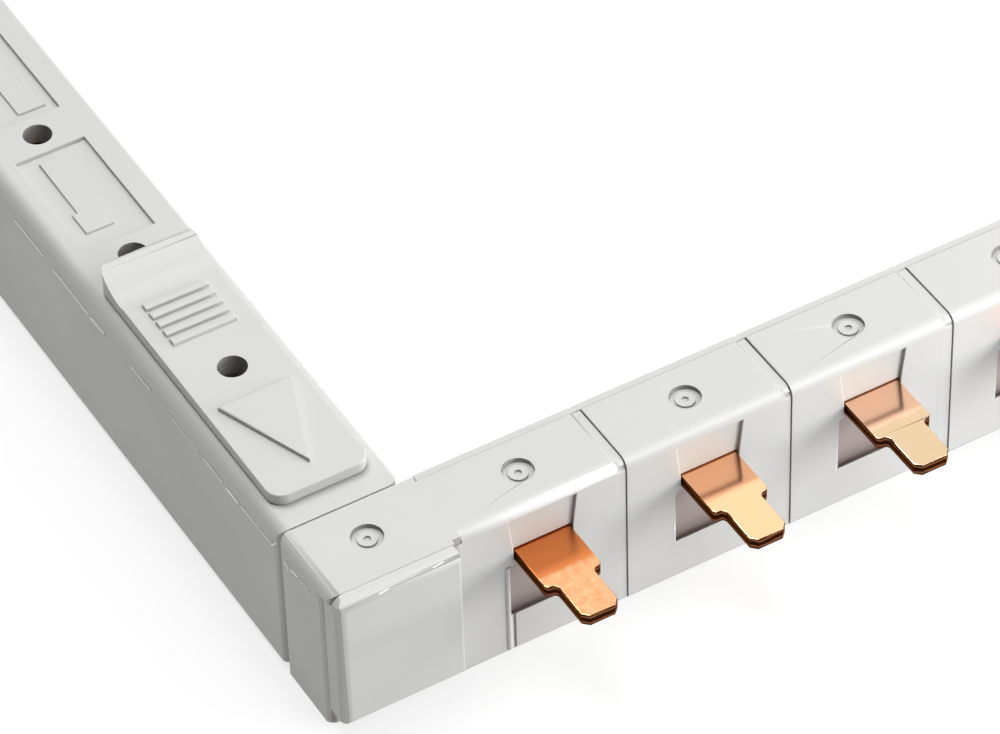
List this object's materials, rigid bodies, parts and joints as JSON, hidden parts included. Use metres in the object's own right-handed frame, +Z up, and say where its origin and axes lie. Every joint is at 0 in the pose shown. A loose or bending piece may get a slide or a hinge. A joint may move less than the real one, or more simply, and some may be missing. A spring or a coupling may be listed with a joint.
{
  "type": "comb busbar",
  "caption": "Insulated comb busbar with flat copper teeth in a moulded housing and a link arm joined at a right angle by a push slider.",
  "frame": {"origin": "on the underside, below the middle of the junction block where the two arms meet", "axes": "+X along the comb away from the junction, -Y the way the teeth point, +Y along the link arm, +Z up"},
  "size_m": [0.122, 0.1294, 0.0212],
  "materials": {
    "shell_plastic": "fine satin, light grey",
    "inner_plastic": "matt grey",
    "copper": "bright bare copper, rolled",
    "spring_bronze": "plain spring bronze"
  },
  "bodies": {
    "busbar": {"comb_first_housing": "shell_plastic", "comb_housing_2": "shell_plastic", "comb_housing_3": "shell_plastic", "comb_housing_4": "shell_plastic", "comb_housing_5": "shell_plastic", "comb_housing_6": "shell_plastic", "comb_back_cover": "shell_plastic", "comb_end_cap": "shell_plastic", "junction_cap": "shell_plastic", "link_housing": "shell_plastic", "link_base": "shell_plastic", "link_end_cap": "shell_plastic", "comb_separator_upper": "inner_plastic", "comb_separator_lower": "inner_plastic", "link_separator_upper": "inner_plastic", "link_separator_lower": "inner_plastic", "conductor_l1": "copper", "conductor_l2": "copper", "conductor_l3": "copper", "link_conductor_l1": "copper", "link_conductor_l2": "copper", "link_conductor_l3": "copper", "junction_clip_l1": "spring_bronze", "junction_clip_l2": "spring_bronze", "junction_clip_l3": "spring_bronze"},
    "slider": {"lock_slider": "shell_plastic", "lock_bar": "inner_plastic"}
  },
  "joints": [
    {"name": "lock_slide", "type": "slide", "parent": "busbar", "child": "slider", "axis": [0, 1, 0], "range_m": [0, 0.007]}
  ]
}
